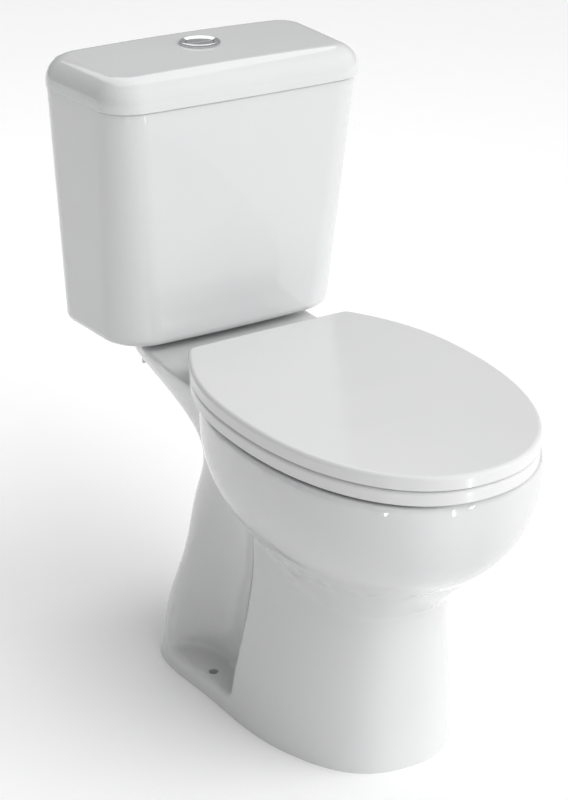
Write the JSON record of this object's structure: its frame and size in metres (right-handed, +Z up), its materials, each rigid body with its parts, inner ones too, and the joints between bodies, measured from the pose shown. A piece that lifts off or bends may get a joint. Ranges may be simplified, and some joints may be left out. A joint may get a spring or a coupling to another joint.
{
  "type": "close coupled toilet",
  "caption": "Close coupled toilet: egg-shaped bowl on a hollow pedestal, shelf-mounted cistern with lift-off lid, dual flush button and valves, hinged seat and cover.",
  "frame": {"origin": "on the floor, under the centre of the bounding box of the whole toilet", "axes": "+Z up, +Y towards the wall behind the cistern, +X to the left of a person sitting on it facing -Y"},
  "size_m": [0.3702, 0.69, 0.7672],
  "materials": {
    "glaze": "white vitreous china glaze",
    "seat_plastic": "moulded white thermoset, polished",
    "hinge_plastic": "moulded white plastic",
    "buffer": "soft off-white buffer",
    "chrome": "bright chrome plate on plastic",
    "steel": "zinc plated steel",
    "spring_steel": "stainless spring wire",
    "valve_plastic": "natural white acetal",
    "lever_plastic": "blue moulded plastic",
    "rubber": "black rubber"
  },
  "bodies": {
    "toilet": {"pan": "glaze", "cistern": "glaze", "doughnut_washer": "rubber", "flush_valve_base": "valve_plastic", "flush_valve_washer": "rubber", "flush_valve_nut": "valve_plastic", "flush_valve_housing": "valve_plastic", "lever_pin": "steel", "fill_valve_body": "valve_plastic", "fill_valve_cap": "lever_plastic", "fill_valve_washer": "rubber", "fill_valve_nut": "valve_plastic", "arm_pin": "steel", "coupling_bolts": "steel", "coupling_seals": "rubber", "coupling_washers": "steel", "coupling_wing_nuts": "valve_plastic", "hinge_posts": "hinge_plastic", "hinge_pins": "steel", "hinge_bolts": "hinge_plastic", "hinge_plugs": "rubber"},
    "lid": {"cistern_lid": "glaze", "button_bezel": "chrome", "button_nut": "valve_plastic", "full_button_spring": "spring_steel", "half_button_spring": "spring_steel"},
    "full_button": {"full_flush_button": "chrome", "full_flush_rod": "valve_plastic"},
    "half_button": {"half_flush_button": "chrome", "half_flush_rod": "valve_plastic"},
    "full_lever": {"full_flush_lever": "lever_plastic"},
    "half_lever": {"half_flush_lever": "lever_plastic"},
    "flush_core": {"overflow_tube": "lever_plastic", "flush_seal": "rubber"},
    "float": {"float_cup": "lever_plastic", "float_rod": "valve_plastic"},
    "float_lever": {"float_arm": "valve_plastic"},
    "ring": {"seat_ring": "seat_plastic", "ring_buffers": "buffer"},
    "cover": {"seat_cover": "seat_plastic", "cover_buffers": "buffer"}
  },
  "joints": [
    {"name": "lid_lift", "type": "slide", "parent": "toilet", "child": "lid", "axis": [0, 0, 1], "range_m": [0, 0.2]},
    {"name": "full_button_press", "type": "slide", "parent": "lid", "child": "full_button", "axis": [0, 0, -1], "range_m": [0, 0.004], "stiffness_N_per_m": 400, "springref_m": -0.004, "deforming": ["full_button_spring"]},
    {"name": "half_button_press", "type": "slide", "parent": "lid", "child": "half_button", "axis": [0, 0, -1], "range_m": [0, 0.004], "stiffness_N_per_m": 400, "springref_m": -0.004, "deforming": ["half_button_spring"]},
    {"name": "full_lever_turn", "type": "hinge", "parent": "toilet", "child": "full_lever", "pos_m": [0, 0.261, 0.676], "axis": [0, -1, 0], "range_deg": [0, 29]},
    {"name": "half_lever_turn", "type": "hinge", "parent": "toilet", "child": "half_lever", "pos_m": [0, 0.261, 0.676], "axis": [0, 1, 0], "range_deg": [0, 29]},
    {"name": "flush_core_lift", "type": "slide", "parent": "toilet", "child": "flush_core", "axis": [0, 0, 1], "range_m": [0, 0.0101]},
    {"name": "float_rise", "type": "slide", "parent": "toilet", "child": "float", "axis": [0, 0, 1], "range_m": [0, 0.012]},
    {"name": "float_arm_turn", "type": "hinge", "parent": "toilet", "child": "float_lever", "pos_m": [0.121, 0.293, 0.664], "axis": [0, 1, 0], "range_deg": [0, 23]},
    {"name": "seat_ring_hinge", "type": "hinge", "parent": "toilet", "child": "ring", "pos_m": [0, 0.099, 0.421], "axis": [1, 0, 0], "range_deg": [-92, 0]},
    {"name": "seat_cover_hinge", "type": "hinge", "parent": "ring", "child": "cover", "pos_m": [0, 0.099, 0.421], "axis": [-1, 0, 0], "range_deg": [0, 92]}
  ],
  "couplings": [
    {"joint": "full_lever_turn", "follows": "full_button_press", "rad_per_m": 125},
    {"joint": "half_lever_turn", "follows": "half_button_press", "rad_per_m": 125},
    {"joint": "flush_core_lift", "follows": "full_button_press", "ratio": 2.5},
    {"joint": "float_arm_turn", "follows": "float_rise", "rad_per_m": 33.333}
  ]
}
